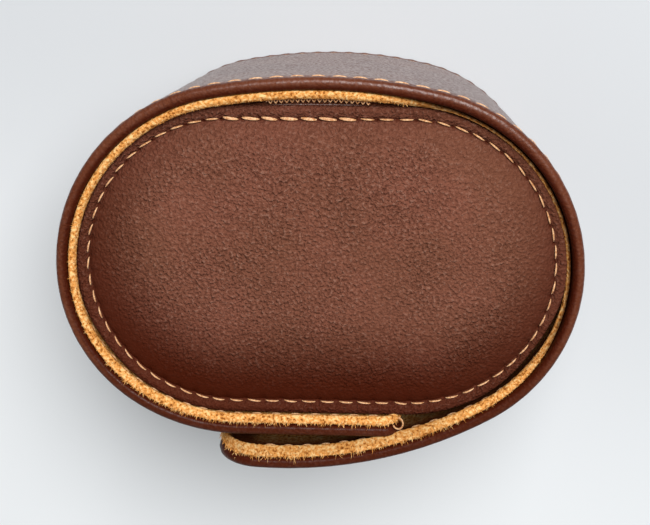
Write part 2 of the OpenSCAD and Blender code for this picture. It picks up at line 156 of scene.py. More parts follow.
# %% Finishes
class Finish:
    """A material with its Principled shader, and a short way to add any node to it."""

    def __init__(self, name, **plain):
        self.material = bpy.data.materials.new(name)
        self.material.use_nodes = True
        self.tree = self.material.node_tree
        self.shader = self.tree.nodes["Principled BSDF"]
        self.place = self.node("TexCoord", output="Object")
        self.set(**plain)

    def node(self, kind, holes=None, output=0, **settings):
        node = self.tree.nodes.new("ShaderNode" + kind)
        for name, value in settings.items():
            setattr(node, name, value)
        for hole, value in (holes or {}).items():
            plug(self.tree, node.inputs[hole], value)
        return Wire(self.tree, node.outputs[output])

    def set(self, **values):
        for name, value in values.items():
            plug(self.tree, self.shader.inputs[name.replace("_", " ").title()
                                              .replace("Ior", "IOR")], value)

    def noise(self, scale, detail=2.0, place=None, output=0):
        return self.node("TexNoise", {"Vector": place or self.place, "Scale": scale,
                                      "Detail": detail}, output=output)

    def ramp(self, value, low, high, start=0.0, end=1.0):
        return self.node("MapRange", {0: value, 1: low, 2: high, 3: start, 4: end},
                         interpolation_type="SMOOTHSTEP")

    def mix(self, share, first, second):
        return self.node("Mix", {0: share, 6: first, 7: second}, output=2, data_type="RGBA")

    def warp(self, scale, reach):
        """The place, shaken by a noise of a given scale and reach."""
        shake = self.node("VectorMath", {0: self.noise(scale, output=1), 1: (0.5, 0.5, 0.5)},
                          operation="SUBTRACT")
        shake = self.node("VectorMath", {0: shake, "Scale": reach}, operation="SCALE")
        return self.node("VectorMath", {0: self.place, 1: shake}, operation="ADD")

    def bump(self, height, distance, strength=1.0):
        self.set(normal=self.node("Bump", {"Height": height, "Distance": distance,
                                           "Strength": strength}))


print("finishes start from a Principled shader")

# %% [markdown]
# ## Floor and light
# One pale sheet of floor and a pale sky keep the picture bright. The leather is dark
# and half glossy, so most of what it shows is the reflection of its light: a wide soft panel
# above the back of the case gives the grey sheen on the upper half of the padded end. The
# front half is deep red brown, partly because less of that light reaches it and partly through
# shade painted into the leather's colour. Small hard lamps would give sharp spots instead.

# %% Floor
paper = Finish("pale_floor", roughness=0.9)
axes = [paper.node("SeparateXYZ", {"Vector": paper.place}, output=i) for i in (0, 1)]
# The floor's colour is darker towards the back and the right, where the back panel lights it most: a painted
# shade that evens out the floor's brightness.
paper.set(base_color=paper.mix(paper.ramp(axes[1] + axes[0] * 0.3, -0.10, 0.04),
                               ink("ebeef0"), ink("ced1d4")))
sheet = bmesh.new()
bmesh.ops.create_grid(sheet, x_segments=2, y_segments=2, size=1.5)
floor_mesh = bpy.data.meshes.new("floor")
sheet.to_mesh(floor_mesh)
sheet.free()
floor_mesh.materials.append(paper.material)
floor = add_object("floor", floor_mesh)
print("floor of", round(floor.dimensions.x, 2), "m at height", floor.location.z)


# %% Lamps
def panel(name, place, size, power):
    """A square soft lamp that faces the middle of the case."""
    light = bpy.data.lights.new(name, "AREA")
    light.shape, light.size, light.energy = "SQUARE", size, power
    lamp = add_object(name, light)
    lamp.location = place
    towards = Vector((0, 0, 0.04)) - Vector(place)
    lamp.rotation_euler = towards.to_track_quat("-Z", "Y").to_euler()


panel("back_panel", (0.16, 0.36, 0.78), 0.50, 9.2)
panel("front_fill", (-0.35, -0.80, 0.60), 0.60, 0.45)
sky = bpy.context.scene.world or bpy.data.worlds.new("sky")
bpy.context.scene.world = sky
sky.use_nodes = True
glow = sky.node_tree.nodes["Background"].inputs
glow["Color"].default_value, glow["Strength"].default_value = ink("e6e9ea"), 0.21
bpy.context.scene.view_settings.view_transform = "Standard"

# %% [markdown]
# ## Leather
# The calf leather has a fine pebbled grain: small raised cells, some of them drawn out like
# worms, with creases between them. Cells of that kind come from the distance to the edges
# of a Voronoi pattern, shaken by a noise so that they lose their straight sides. The grain
# goes into a bump, and the colour follows it: the bottom of the creases is darker, a painted
# shade, and the highest pebbles are paler, painted glints.
# Where the leather is pulled tight over a rim the grain opens and the surface is smoother.
# The attribute "taut" carries that, from 0 on slack leather to 1 on the tightest. A second
# attribute mixes in a third, dark colour and takes off some gloss. It is partly a darker tone
# along edges, and mostly painted shade where the surface faces away from the light, in the
# stitch grooves and on the inner flank of the beads.


# %% Leather finish
pebbles_per_metre = 1750.0


def leather(name, deep, warm, edge_and_shade_ink, glint, polish=0.0):
    finish = Finish(name, specular_ior_level=glint, specular_tint=(1, 0.42, 0.22, 1),
                    coat_roughness=0.28)
    taut, burnish_and_shade = [finish.node("Attribute", attribute_name=n, output=2)
                     for n in ("taut", "burnish_and_shade")]
    place = finish.warp(700, 0.0007)
    pebbles = finish.node("TexVoronoi", {"Vector": place, "Scale": pebbles_per_metre,
                                          "Smoothness": 0.5}, feature="SMOOTH_F1")
    pebbles = finish.ramp(pebbles, 0.25, 0.75, 1.0, 0.0)
    grit = finish.noise(1600, 2.0)
    slack = (1.0 - taut * 0.85) * finish.ramp(finish.noise(60, 2.0), 0.3, 0.65, 0.7, 1.1)
    relief = (pebbles * 0.5 + grit * 1.5) * slack + finish.noise(210, 2.0) * 0.4
    finish.bump(relief, 0.00042, 1.0)
    tone = finish.mix(finish.ramp(finish.noise(42, 4.0), 0.32, 0.7), ink(deep), ink(warm))
    # The second attribute mixes in the dark colour: partly a darker tone, mostly painted shade.
    tone = finish.mix(burnish_and_shade, tone, ink(edge_and_shade_ink))
    # Painted shade: the bottom of the creases is darker.
    tone = finish.mix(finish.ramp(grit, 0.5, 0.36, 0.0, 0.33) * slack, tone, ink("2a0c04"))
    # Painted glints: the highest pebbles are paler, with fewer of them where shade is painted.
    tips = finish.ramp(grit, 0.54, 0.7, 0.0, 0.25) * slack * (1.0 - burnish_and_shade * 0.8)
    tone = finish.mix(tips, tone, ink("b08a78"))
    finish.set(base_color=tone)
    if polish:
        shine = finish.ramp(grit, 0.37, 0.63, polish * 0.45, polish * 1.45)
        finish.set(coat_weight=(1.0 - burnish_and_shade * 0.8) * shine)
    finish.set(roughness=0.42 + burnish_and_shade * 0.14 + finish.noise(300) * 0.12 - pebbles * 0.06)
    return finish.material


# The third colour of each leather is the dark red brown of its darker edges and painted shade.
calf = leather("wrap_leather", "663521", "73412b", "3e1205", 0.18, polish=0.68)
end_calf = leather("end_leather", "6d4434", "77493a", "401306", 0.15)
print("grain pebbles of about", round(1 / pebbles_per_metre / mm, 2), "mm")

# %% [markdown]
# ## Suede, thread and metal
# Suede is the split side of a hide: a mat of fine fibres. Its colour is led by the same
# noise as its relief: orange tan where the fibres stand up, with the highest tips paler, a
# painted highlight, and brown in the hollows between them, partly its own tone and partly a
# painted shade. An attribute mixes in a dark colour: dark specks of fibre, and painted shade
# where the lining lies deep in a gap. The thread is a waxed linen cord of pale peach, and
# the snaps are brass with a thin lacquer.


# %% Suede, thread and brass finishes
def suede(name, hollow, nap, tips):
    finish = Finish(name, roughness=0.95, specular_ior_level=0.0)
    mat = finish.noise(1700, 3.0, finish.warp(1100, 0.0006))
    lumps = finish.noise(420, 2.0)
    # Browner in the hollows of the relief: partly the suede's own tone, partly painted shade.
    tone = finish.mix(finish.ramp(mat + lumps * 0.2, 0.42, 0.56), ink(hollow), ink(nap))
    # Painted highlight: the highest tips of the relief are palest.
    tone = finish.mix(finish.ramp(mat + lumps * 0.3, 0.62, 0.82), tone, ink(tips))
    # The attribute mixes in dark brown: dark fibre specks, and painted shade in deep gaps.
    specks_and_shade = finish.node("Attribute", attribute_name="burnish_and_shade", output=2)
    finish.set(base_color=finish.mix(specks_and_shade, tone, ink("38150a")))
    finish.bump(mat + lumps * 0.5, 0.00035, 0.7)
    return finish.material


def metal(name, colour, worn):
    finish = Finish(name, metallic=1.0, coat_weight=0.3)
    rub = finish.noise(260, 5.0)
    finish.set(base_color=finish.mix(finish.ramp(rub, 0.35, 0.7), ink(worn), ink(colour)))
    finish.set(roughness=finish.ramp(rub, 0.3, 0.75, 0.2, 0.42))
    finish.bump(finish.noise(1800), 0.00002, 0.4)
    return finish.material


def fibrous(name, colour, shade, scale, depth, detail=4.0, **plain):
    """Thread, board, felt or foam: one noise leads both its colour and its relief."""
    finish = Finish(name, **plain)
    fibres = finish.noise(scale, detail)
    finish.set(base_color=finish.mix(finish.ramp(fibres, 0.3, 0.7), ink(shade), ink(colour)))
    finish.bump(fibres, depth, 0.6)
    return finish.material


# The hollow colour carries painted shade, and the tips colour a painted highlight.
lining_suede = suede("lining_suede", "935521", "e09a50", "f6c988")
pale_thread = fibrous("pale_thread", "f0c08e", "b97a45", 2600, 0.00012, detail=3.0,
                      roughness=0.55, sheen_weight=0.2)
brass = metal("lacquered_brass", "b08d4c", "7f5f2c")
grey_board = fibrous("grey_board", "b5a793", "958673", 900, 0.0001, roughness=0.9)
grey_felt = fibrous("grey_felt", "8b8580", "6c6661", 1400, 0.0002, roughness=0.9)
cream_foam = fibrous("cream_foam", "efe6cf", "d8caa8", 1700, 0.00025, roughness=0.9)
print("finishes:", [m.name for m in bpy.data.materials])

# %% [markdown]
# ## The line of the wrap
# A strap of leather is cut flat and then bent, and the pieces of the wrap are made in the
# same way. Each one is drawn flat, with its length along X, what is outward along Y and its
# height along Z. Then every point is carried to the line that the wrap follows, a row of
# arcs and straights that is walked by length. Stitches, edges and puckers are far easier
# to place on the flat strap than on the bent one.

# %% Sizes of the wrap
case_height = 76 * mm
half_width, back_depth, front_depth, flap_gap = 52.8 * mm, 39 * mm, 34.6 * mm, 4.3 * mm
half_height, wrap_depth = case_height / 2, 3.35 * mm
outer_depth = front_depth + wrap_depth + flap_gap
widest_y = (outer_depth + 1.5 * mm - back_depth - 0.3 * mm) / 2
back_y = widest_y + back_depth
snap_offset, tip_turn_in, outer_tip_reach = 8 * mm, math.radians(2.6), 21.7 * mm
shoulder_at, crease_at = 28 * mm, 99 * mm
print("the wrap is", round(wrap_depth / mm, 2), "mm thick")


# %% A line that is walked by length
def quarter(width, depth, bend):
    """A quarter of an oval: a wide arc, then a tight one, as (length, curvature) legs."""
    u = width - bend
    wide = (u * u + depth * depth - bend * bend) / (2 * (depth - bend))
    turn = math.atan2(u, wide - depth)
    return [(wide * turn, 1 / wide), (bend * (math.pi / 2 - turn), 1 / bend)]


class Line:
    """Legs of (length, curvature) that turn clockwise from a start (x, y, heading)."""

    def __init__(self, start, legs):
        self.start, self.legs = start, legs
        self.length = sum(leg[0] for leg in legs)

    def at(self, s):
        x, y, heading = self.start
        for i, (length, curvature) in enumerate(self.legs):
            step = s if s <= length or i == len(self.legs) - 1 else length
            if curvature:
                turned = heading - step * curvature
                x += (math.sin(heading) - math.sin(turned)) / curvature
                y -= (math.cos(heading) - math.cos(turned)) / curvature
                heading = turned
            else:
                x += step * math.cos(heading)
                y += step * math.sin(heading)
            s -= step
            if s <= 0:
                break
        return x, y, heading


front_right = quarter(half_width + snap_offset, outer_depth, outer_depth - 7 * mm)
(wide_length, wide_curve), front_right_bend = front_right
outer_line = Line((0, back_y, 0), quarter(half_width, back_depth, back_depth - 1.8 * mm) + [
    front_right_bend, (wide_length + tip_turn_in / wide_curve, wide_curve),
    (outer_tip_reach - snap_offset - math.sin(tip_turn_in) / wide_curve, 0)])
front_left_bend = front_depth - 0.7 * mm
straight_from = half_width - front_left_bend - 2.6 * mm
crossing = math.sqrt((1 / wide_curve - wrap_depth) ** 2
                     - (1 / wide_curve - outer_depth + front_depth) ** 2) - snap_offset
front_left = quarter(half_width - straight_from, front_depth, front_left_bend)
inner_line = Line((0, back_y, 0), quarter(half_width, back_depth, back_depth - 1.3 * mm) + [
    front_left[1], front_left[0], (straight_from + crossing - 0.8 * mm, 0)])
tip_outer, tip_inner = outer_line.length, -inner_line.length


@functools.lru_cache(maxsize=None)
def wrap_at(s):
    """Where the wrap's outer face is: clockwise lengths are positive, the others negative."""
    if s >= 0:
        return outer_line.at(s)
    x, y, heading = inner_line.at(-s)
    return -x, y, -heading


def bend(bm, line_at):
    """Carries flat points (length, outward, height) to the line."""
    for v in bm.verts:
        x, y, heading = line_at(v.co.x)
        v.co.x, v.co.y = x - v.co.y * math.sin(heading), y + v.co.y * math.cos(heading)


print("lengths of the two branches in mm:", round(tip_outer / mm, 1), round(-tip_inner / mm, 1))

# %% [markdown]
# ## From a flat drawing to a piece
# Every piece goes through the same last steps: its mesh is finished with smooth shading,
# sharp edges are kept where two faces meet at a steep angle, and it is told what it rides
# on. Leather that crosses a fold can't ride on one side alone, so it bends between the two
# bodies over a few millimetres on each side of the fold.


# %% Finishing a piece
folds = {"outer_shoulder": (shoulder_at, "core", "outer_side"),
         "outer_crease": (crease_at, "outer_side", "outer_flap"),
         "inner_shoulder": (-shoulder_at, "core", "inner_side"),
         "inner_crease": (-crease_at, "inner_side", "inner_flap")}


def piece(name, bm, material, body=None, fold=None, stands_for=(), sharp=50):
    mesh = bpy.data.meshes.new(name)
    bm.to_mesh(mesh)
    bm.free()
    mesh.materials.append(material)
    mesh.shade_smooth()
    mesh.set_sharp_from_angle(angle=math.radians(sharp))
    made = add_object(name, mesh)
    if fold:
        s, first, second = folds[fold]
        x, y, heading = wrap_at(s)
        reach = Vector((math.cos(heading), math.sin(heading), 0)) * math.copysign(6 * mm, s)
        middle = Vector((x, y, half_height))
        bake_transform(made, first, second, start=middle - reach, end=middle + reach)
    else:
        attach(made, body)
    if stands_for:
        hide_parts(*stands_for)
    print(name, "has", len(mesh.polygons), "faces")
    return made


def outwards(bm):
    """Turns every face to the outside."""
    bmesh.ops.recalc_face_normals(bm, faces=bm.faces)


def only(kind, geometry):
    """The vertices, edges or faces in what an operator gives back."""
    return [g for g in geometry if isinstance(g, kind)]


def sweep(outline, start, runs, ends=True):
    """Draws a closed outline of (outward, height, mark) points and extrudes it along X,
    in runs of (length, step)."""
    bm = bmesh.new()
    bm.verts.layers.float.new("taut")
    bm.verts.layers.float.new("burnish_and_shade")
    mark = bm.verts.layers.float.new("mark")
    ring = []
    for y, z, value in outline:
        ring.append(bm.verts.new((start, y, z)))
        ring[-1][mark] = value
    edges = [bm.edges.new(pair) for pair in zip(ring, ring[1:] + ring[:1])]
    for length, step in runs:
        steps = max(1, round(abs(length) / step))
        made = bmesh.ops.spin(bm, geom=edges, axis=(1, 0, 0), cent=(0, 0, 0), angle=0,
                              dvec=(length / steps, 0, 0), steps=steps)
        edges = only(bmesh.types.BMEdge, made["geom_last"])
    if ends:
        bmesh.ops.holes_fill(bm, edges=bm.edges[:], sides=0)
    return bm


def thread_along(points, thickness, sides=5):
    """A tube through a row of points: a circle is swept along X, one step for each point,
    and each ring is then carried to its point. The thickness is read for each ring."""
    turns = [2 * math.pi * k / sides for k in range(sides)]
    circle = [(math.cos(a), math.sin(a), 0) for a in turns]
    bm = sweep(circle, 0, [(len(points) - 1, 1)])
    places = []
    for i, point in enumerate(points):
        ahead = (points[min(i + 1, len(points) - 1)] - points[max(i - 1, 0)]).normalized()
        last = places[-1][1] if places else ahead.orthogonal()
        side = (last - ahead * last.dot(ahead)).normalized()
        places.append((point, side, ahead.cross(side)))
    for v in bm.verts:
        i = round(v.co.x)
        point, side, up = places[i]
        v.co = point + (side * v.co.y + up * v.co.z) * thickness(i)
    bmesh.ops.remove_doubles(bm, verts=bm.verts[:], dist=1e-7)
    outwards(bm)
    return bm


def plant(bm, seed, place, shade=0.0):
    """Copies a small mesh into a larger one, at a matrix."""
    turned = place.determinant() < 0
    spots = {v: bm.verts.new(place @ v.co) for v in seed.verts}
    if shade:
        burnish_and_shade = bm.verts.layers.float["burnish_and_shade"]
        for v in spots.values():
            v[burnish_and_shade] = shade
    for face in seed.faces:
        corners = [spots[v] for v in face.verts]
        bm.faces.new(corners[::-1] if turned else corners)


def smoothstep(value, low, high, start=0.0):
    t = min(1.0, max(0.0, (value - low) / (high - low)))
    return start + (1 - start) * t * t * (3 - 2 * t)


def fade(value, low, high):
    """One below the low value, zero above the high one."""
    return 1 - smoothstep(value, low, high)


def hump(value, width):
    """A bell of height one, as wide as its width on each side."""
    return math.exp(-(value / width) ** 2)


def reading(table, x):
    """Straight-line reading between the rows of a small table of (x, y)."""
    for (x0, y0), (x1, y1) in zip(table, table[1:]):
        if x <= x1:
            return y0 + (y1 - y0) * (x - x0) / (x1 - x0)
    return table[-1][1]


print("folds:", {name: round(s / mm) for name, (s, _, _) in folds.items()})

# %% [markdown]
# ## The wrap's leather
# The leather is turned in round a board, so its edge is a full round bead, with the groove
# of the stitching three millimetres below it. One profile says how far the outer and the
# inner face stand at each distance from the edge. It is swept along the flat strap, and at
# a flap's tip the same profile runs across the strap too. The two corners are then rounded
# by sliding each point of a square corner onto the circle at the same distance from the
# edge, so the bead goes round without a mitre.

# %% Profiles of the leather's edge
edge_outside = [(0, -1.1), (0.03, -0.8), (0.1, -0.58), (0.22, -0.36), (0.4, -0.16), (0.62, -0.02),
                (0.9, 0.06), (1.3, 0.1), (1.8, 0.08), (2.2, 0.02), (2.6, -0.1), (2.85, -0.19),
                (3.05, -0.22), (3.3, -0.17), (3.7, -0.06), (4.3, -0.01), (5.2, 0)]
edge_inside = [(0, -1.1), (0.03, -1.4), (0.1, -1.65), (0.22, -1.86), (0.4, -2.02), (0.62, -2.14),
               (0.9, -2.2), (1.3, -2.22), (5.2, -2.2)]
stitch_line, stitch_pitch, stitch_length = 3.0 * mm, 4.06 * mm, 3.2 * mm
plain_lines = [8, 12, 17, 23, 30]
hair, strap_step = 0.05 * mm, 0.545 * mm
print("the groove is", stitch_line / mm, "mm from the edge")


# %% A strap, with or without a tip
def strap(outside, inside, start, stop, inset, tip, radius):
    """A closed flat strap between two lengths, from the profiles (in mm) of its edges."""
    distances = sorted({d for d, _ in outside} | {d for d, _ in inside})
    lines = [d * mm for d in distances + plain_lines]
    loop = [(reading(outside, d / mm) * mm, inset + d, 0) for d in lines]
    loop += [(y, case_height - z, 0) for y, z, _ in reversed(loop)]
    back = [(reading(inside, d / mm) * mm, inset + d, 1) for d in lines[1:]]
    loop += [(y, case_height - z, 1) for y, z, _ in back] + back[::-1]
    way = math.copysign(1, stop - start)
    end = distances[-1] * mm + inset if tip else hair
    runs = [(way * hair, hair), (stop - start - way * (hair + end), strap_step)]
    if tip:
        rows = [d * mm for d in distances]
        runs += [(way * (b - a), 1) for a, b in reversed(list(zip(rows, rows[1:])))]
    else:
        runs.append((way * hair, hair))
    bm = sweep(loop, start, runs, ends=not tip)
    if tip:
        shape_tip(bm, outside, inside, inset, stop, way, radius)
    return bm


def shape_tip(bm, outside, inside, inset, tip, way, radius):
    """Rolls the two faces together at the tip, and rounds its corners."""
    mark = bm.verts.layers.float["mark"]
    middle, half = half_height, half_height - inset
    for v in bm.verts:
        to_tip = (tip - v.co.x) * way - inset
        to_side = half - abs(v.co.z - middle)
        if to_tip < 6 * mm:
            v.co.y = reading(inside if v[mark] else outside, min(to_tip, to_side) / mm) * mm
        a, b = 1 - to_tip / radius, 1 - to_side / radius
        if a > 0 and b > 0:
            slide = max(a, b) / math.hypot(a, b)
            v.co.x = tip - way * (inset + radius - a * slide * radius)
            v.co.z = middle + math.copysign(half - radius + b * slide * radius, v.co.z - middle)
    bmesh.ops.remove_doubles(bm, verts=bm.verts[:], dist=1e-6)
    bmesh.ops.holes_fill(bm, edges=bm.edges[:], sides=0)


print("corner radii: 9 mm on the outer flap, 4 mm on the inner flap")

# %% The four leather pieces
seam_outer, seam_inner = 64 * mm, -64 * mm
reaches = {"outer_shoulder": (0, seam_outer, False, 0),
           "outer_crease": (seam_outer, tip_outer, True, 9 * mm),
           "inner_shoulder": (0, seam_inner, False, 0),
           "inner_crease": (seam_inner, tip_inner, True, 4 * mm)}
stands = {"outer_shoulder": ("spine",), "outer_crease": ("outer_side", "outer_flap"),
          "inner_shoulder": (), "inner_crease": ("inner_side", "inner_flap")}


def edge_distance(x, z, tip, radius):
    """Distance from a point of the flat strap to its nearest edge."""
    to_side = half_height - abs(z - half_height)
    to_tip = abs(tip - x)
    if radius and to_tip < radius and to_side < radius:
        return radius - math.hypot(radius - to_tip, radius - to_side)
    return min(to_side, to_tip)


def swelling(s, edge):
    """How much thicker the edge is, where the layers are not drawn tight round the back."""
    return 0.28 * mm * fade(abs(s), 38 * mm, 66 * mm) * fade(edge, 5 * mm, 9 * mm)


def work_leather(bm, tip, radius):
    """Darkens the edge, partly as painted shade, dents the stitch holes, swells the edge between them and
    waves the faces.
    """
    mark, taut, burnish_and_shade = [bm.verts.layers.float[n] for n in ("mark", "taut", "burnish_and_shade")]
    for v in bm.verts:
        edge = edge_distance(v.co.x, v.co.z, tip, radius)
        v[taut] = 0.8 * fade(edge, 1.5 * mm, 8 * mm)
        # The band along the edge is darker: more so on the front flaps, which face away from the light, as
        # painted shade, and less near the base edge.
        front = smoothstep(abs(v.co.x), 85 * mm, 110 * mm)
        low = smoothstep(half_height - v.co.z, 20 * mm, 30 * mm)
        v[burnish_and_shade] = (0.32 + 0.5 * front) * (1 - 0.7 * low) * fade(edge, 1 * mm, 5 * mm)
        # Painted shade: the inner flank of the bead, beside the lining, goes fully dark.
        inner = smoothstep(-v.co.y, 0.9 * mm, 1.7 * mm)
        v[burnish_and_shade] += inner * (1 - v[burnish_and_shade])
        v.co.y -= inner * swelling(v.co.x, edge)
        if v[mark]:
            continue
        along = v.co.x if abs(tip - v.co.x) > 2 * stitch_line else v.co.z - half_height
        to_hole = abs((along / stitch_pitch) % 1 - 0.5) * stitch_pitch
        across = edge - stitch_line
        v.co.y -= 0.34 * mm * hump(to_hole, 0.5 * mm) * hump(across, 0.8 * mm)
        v.co.y -= 0.1 * mm * hump(across, 0.5 * mm)
        if edge < 6 * mm:
            swell = math.cos(2 * math.pi * to_hole / stitch_pitch)
            v.co.y -= (0.05 + 0.1 * low) * mm * swell * hump(edge - 2 * mm, 1 * mm)
        v.co.y += 0.16 * mm * smoothstep(edge, 4 * mm, 16 * mm) * noise.noise(
            Vector((v.co.x, 0, v.co.z)) / (13 * mm))


for fold, (start, stop, has_tip, radius) in reaches.items():
    bm = strap(edge_outside, edge_inside, start, stop, 0, has_tip, radius)
    work_leather(bm, tip_outer if stop > 0 else tip_inner, radius)
    bend(bm, wrap_at)
    outwards(bm)
    piece(fold + "_leather", bm, calf, fold=fold,
          stands_for=[f"{stretch}_{layer}" for stretch in stands[fold]
                      for layer in ("leather", "board", "felt")])

# %% [markdown]
# ## The suede lining
# The lining is a second strap, glued inside the first and cut a little short of its edge.
# Nothing covers its cut edge, so it is a raw band of fibres. Hair particles could draw the
# nap, but real strands of mesh cast their own small shadows and survive an export: a few
# thousand bent spikes stand on the edge, long and shaggy on the flaps, short at the back.
# At the right-hand bend the lining has sunk between the drum and the leather.

# %% Profiles of the lining's edge
nap_outside = [(0, -2.75), (0.1, -2.6), (0.35, -2.4), (0.8, -2.26), (1.4, -2.22), (5, -2.22)]
nap_inside = [(0, -2.75), (0.03, -3.0), (0.1, -3.25), (0.25, -3.45), (0.5, -3.65), (0.85, -3.8),
              (1.25, -3.86), (1.65, -3.82), (2.05, -3.65), (2.4, -3.45), (2.8, -3.37), (3.4, -3.35),
              (5, -3.35)]
lining_inset = 0.45 * mm
sunk_table = [(-170, 0), (6, 0), (24, 1.2), (38, 1.7), (75, 1.7), (88, 1.1), (100, 0.3), (112, 0),
              (170, 0)]
shag_table = [(-170, 1.7), (-110, 1.5), (-92, 0.8), (-40, 0.5), (0, 0.4), (30, 0.3), (80, 0.3),
              (105, 0.8), (122, 1.6), (170, 2.0)]
flare_table = [(-170, 0.4), (-110, 0.35), (-90, 0.0), (-40, 0.05), (0, 0.15), (30, 0.1), (40, 0),
               (100, 0.15), (116, 0.5), (130, 1.0), (170, 1.2)]


def sunk(s):
    """How far the lining's edge has sunk at a length along the wrap."""
    return reading(sunk_table, s / mm) * mm


def flare(s):
    """How far the nap spreads inwards at a length along the wrap."""
    return reading(flare_table, s / mm) * mm


def work_suede(bm, tip, radius):
    """Sinks the edge where it is sunk, spreads and roughens the nap, and paints shade on the face."""
    burnish_and_shade = bm.verts.layers.float["burnish_and_shade"]
    for v in bm.verts:
        s, edge = v.co.x, edge_distance(v.co.x, v.co.z, tip, radius)
        inner = smoothstep(-v.co.y, 2.6 * mm, 3.3 * mm)
        pressed = smoothstep(sunk(s), 0.2 * mm, 1.5 * mm)
        # Painted shade: from about 1.3 mm in from the edge, fading out by 13 mm, the face is darkened, most
        # on the outer flap, where it lies deep in the gap between the flaps.
        gap_shade = 0.4 + 0.57 * smoothstep(s, 60 * mm, 95 * mm)
        v[burnish_and_shade] = gap_shade * smoothstep(edge, 1.3 * mm, 2.8 * mm) * fade(edge, 6 * mm, 13 * mm)
        # Painted shade on the inner side of the nap at the outer flap's tip.
        v[burnish_and_shade] += (1 - v[burnish_and_shade]) * 0.3 * inner * smoothstep(s, 112 * mm, 125 * mm)
        # Painted shade where the edge has sunk between the drum and the leather.
        hidden = pressed * fade(-v.co.y, 3.35 * mm, 3.75 * mm) * fade(edge, 2 * mm, 4 * mm)
        v[burnish_and_shade] += (1 - v[burnish_and_shade]) * 0.95 * hidden
        down = sunk(s) * fade(edge, 3 * mm, 8 * mm) * (1.15 - 0.3 * inner)
        v.co.z -= math.copysign(down, v.co.z - half_height)
        v.co.y -= inner * flare(s) * hump(edge - 1.1 * mm, 1.1 * mm)
        v.co.y -= swelling(s, edge)
        if v.co.y < -2.5 * mm:
            v.co.y += 0.75 * mm * inner * pressed * (edge < 6 * mm)
            rough = 0.16 if edge < 1.5 * mm else 0.08
            v.co += noise.noise_vector(v.co / (0.45 * mm)) * rough * mm


print("the lining sinks by up to", max(depth for _, depth in sunk_table), "mm")


# %% Fibres of the nap
fibres_per_mm = 20


def fibre(rng):
    """One bent fibre of length 1 along Z: a slim three-sided spike with a knee."""
    tip = Vector((rng.uniform(-0.35, 0.35), rng.uniform(-0.35, 0.35), 1))
    points = [Vector((0, 0, 0)), Vector((tip.x * 0.2, tip.y * 0.2, 0.55)), tip]
    return thread_along(points, lambda i: (0.1, 0.07, 0)[i], sides=3)


def raise_nap(bm, start, stop, tip, radius, rng):
    """Spikes along the two cut edges between two lengths, and along a tip."""
    low, high = sorted((start, stop))
    seeds = [fibre(rng) for _ in range(8)]

    def grow(root, lean, length, width, shade):
        turn = lean.normalized().to_track_quat("Z", "Y").to_matrix().to_4x4()
        plant(bm, rng.choice(seeds), Matrix.Translation(root) @ turn
              @ Matrix.Diagonal((width * 10, width * 10, length, 1)), shade)

    for end, density in ((1, fibres_per_mm), (-1, fibres_per_mm * 0.45)):
        for _ in range(int((high - low) / mm * density)):
            s = rng.uniform(low, high)
            tuft = noise.noise(Vector((s / (1.4 * mm), end, 0)))
            shag = reading(shag_table, s / mm) * (1.1 + 0.8 * tuft)
            if sunk(s) > 0.8 * mm:
                continue
            across = rng.random() ** 1.2
            depth = -2.7 * mm - across * (1.0 * mm + flare(s)) - swelling(s, 0)
            edge = lining_inset + sunk(s) * 0.95 + (0.12 + 0.5 * across ** 3) * mm
            if radius:
                to_tip = abs(tip - s) - lining_inset
                if to_tip < radius:
                    beyond = radius - max(0, to_tip)
                    edge += radius - math.sqrt(max(0.0, radius ** 2 - beyond ** 2))
            root = Vector((s, depth, half_height + end * (half_height - edge)))
            spread = min(1.0, 0.55 * shag) + 0.35 - (0.7 + 0.5 * (shag < 1)) * across
            outward = rng.gauss(spread, 0.35)
            lean = Vector((rng.gauss(0, 0.45), outward, end * rng.uniform(0.2, 0.8)))
            length = (0.24 + rng.expovariate(1 / 0.2)) * shag * mm
            # Some fibres are darker at random; deep ones in a wide nap are darker still, a painted shade.
            shade = rng.choice((0.0, 0.0, 0.0, 0.2, 0.45)) + 0.3 * across * (flare(s) > 0.6 * mm)
            grow(root, lean, min(length, 0.85 * shag * mm), rng.uniform(0.045, 0.1) * mm, shade)
    if radius:
        for _ in range(int((case_height / mm - 2 * radius / mm) * fibres_per_mm * 0.5)):
            z = rng.uniform(radius, case_height - radius)
            way = math.copysign(1, tip)
            root = Vector((tip - way * lining_inset, -2.3 * mm - rng.random() * mm, z))
            lean = Vector((way * rng.uniform(0.3, 0.9), rng.gauss(0.3, 0.5), rng.gauss(0, 0.5)))
            grow(root, lean, rng.uniform(0.25, 0.7) * mm, 0.07 * mm, 0.1)


rng = random.Random(5)
for fold, (start, stop, has_tip, radius) in reaches.items():
    tip = tip_outer if stop > 0 else tip_inner
    bm = strap(nap_outside, nap_inside, start, stop, lining_inset, has_tip, radius)
    work_suede(bm, tip, radius)
    outwards(bm)
    raise_nap(bm, start, stop, tip, radius, rng)
    bend(bm, wrap_at)
    piece(fold + "_lining", bm, lining_suede, fold=fold, sharp=80,
          stands_for=[s + "_lining" for s in stands[fold]])

# %% [markdown]
# ## The stitches of the wrap
# A stitch is a short cord that comes up out of one hole and goes down into the next, so
# seen from above it is a lens, thickest in its middle. One stitch is modelled once, as a
# tube whose rings follow a low arch, and it is copied to every place. A curve with a bevel
# would give the tube too, but not the ends that dive into the leather.


# %% One stitch
def stitch(length, width, rise, slant=0.0, rings=7):
    """A stitch along X, arched along Y, from hole to hole."""
    arch = [math.sin(math.pi * i / (rings - 1)) for i in range(rings)]
    points = [Vector(((i / (rings - 1) - 0.5) * length, rise * a ** 0.5 - width * 0.35,
                      (i / (rings - 1) - 0.5) * length * slant)) for i, a in enumerate(arch)]
    return thread_along(points, lambda i: width / 2 * (0.35 + 0.65 * arch[i] ** 0.6), sides=6)


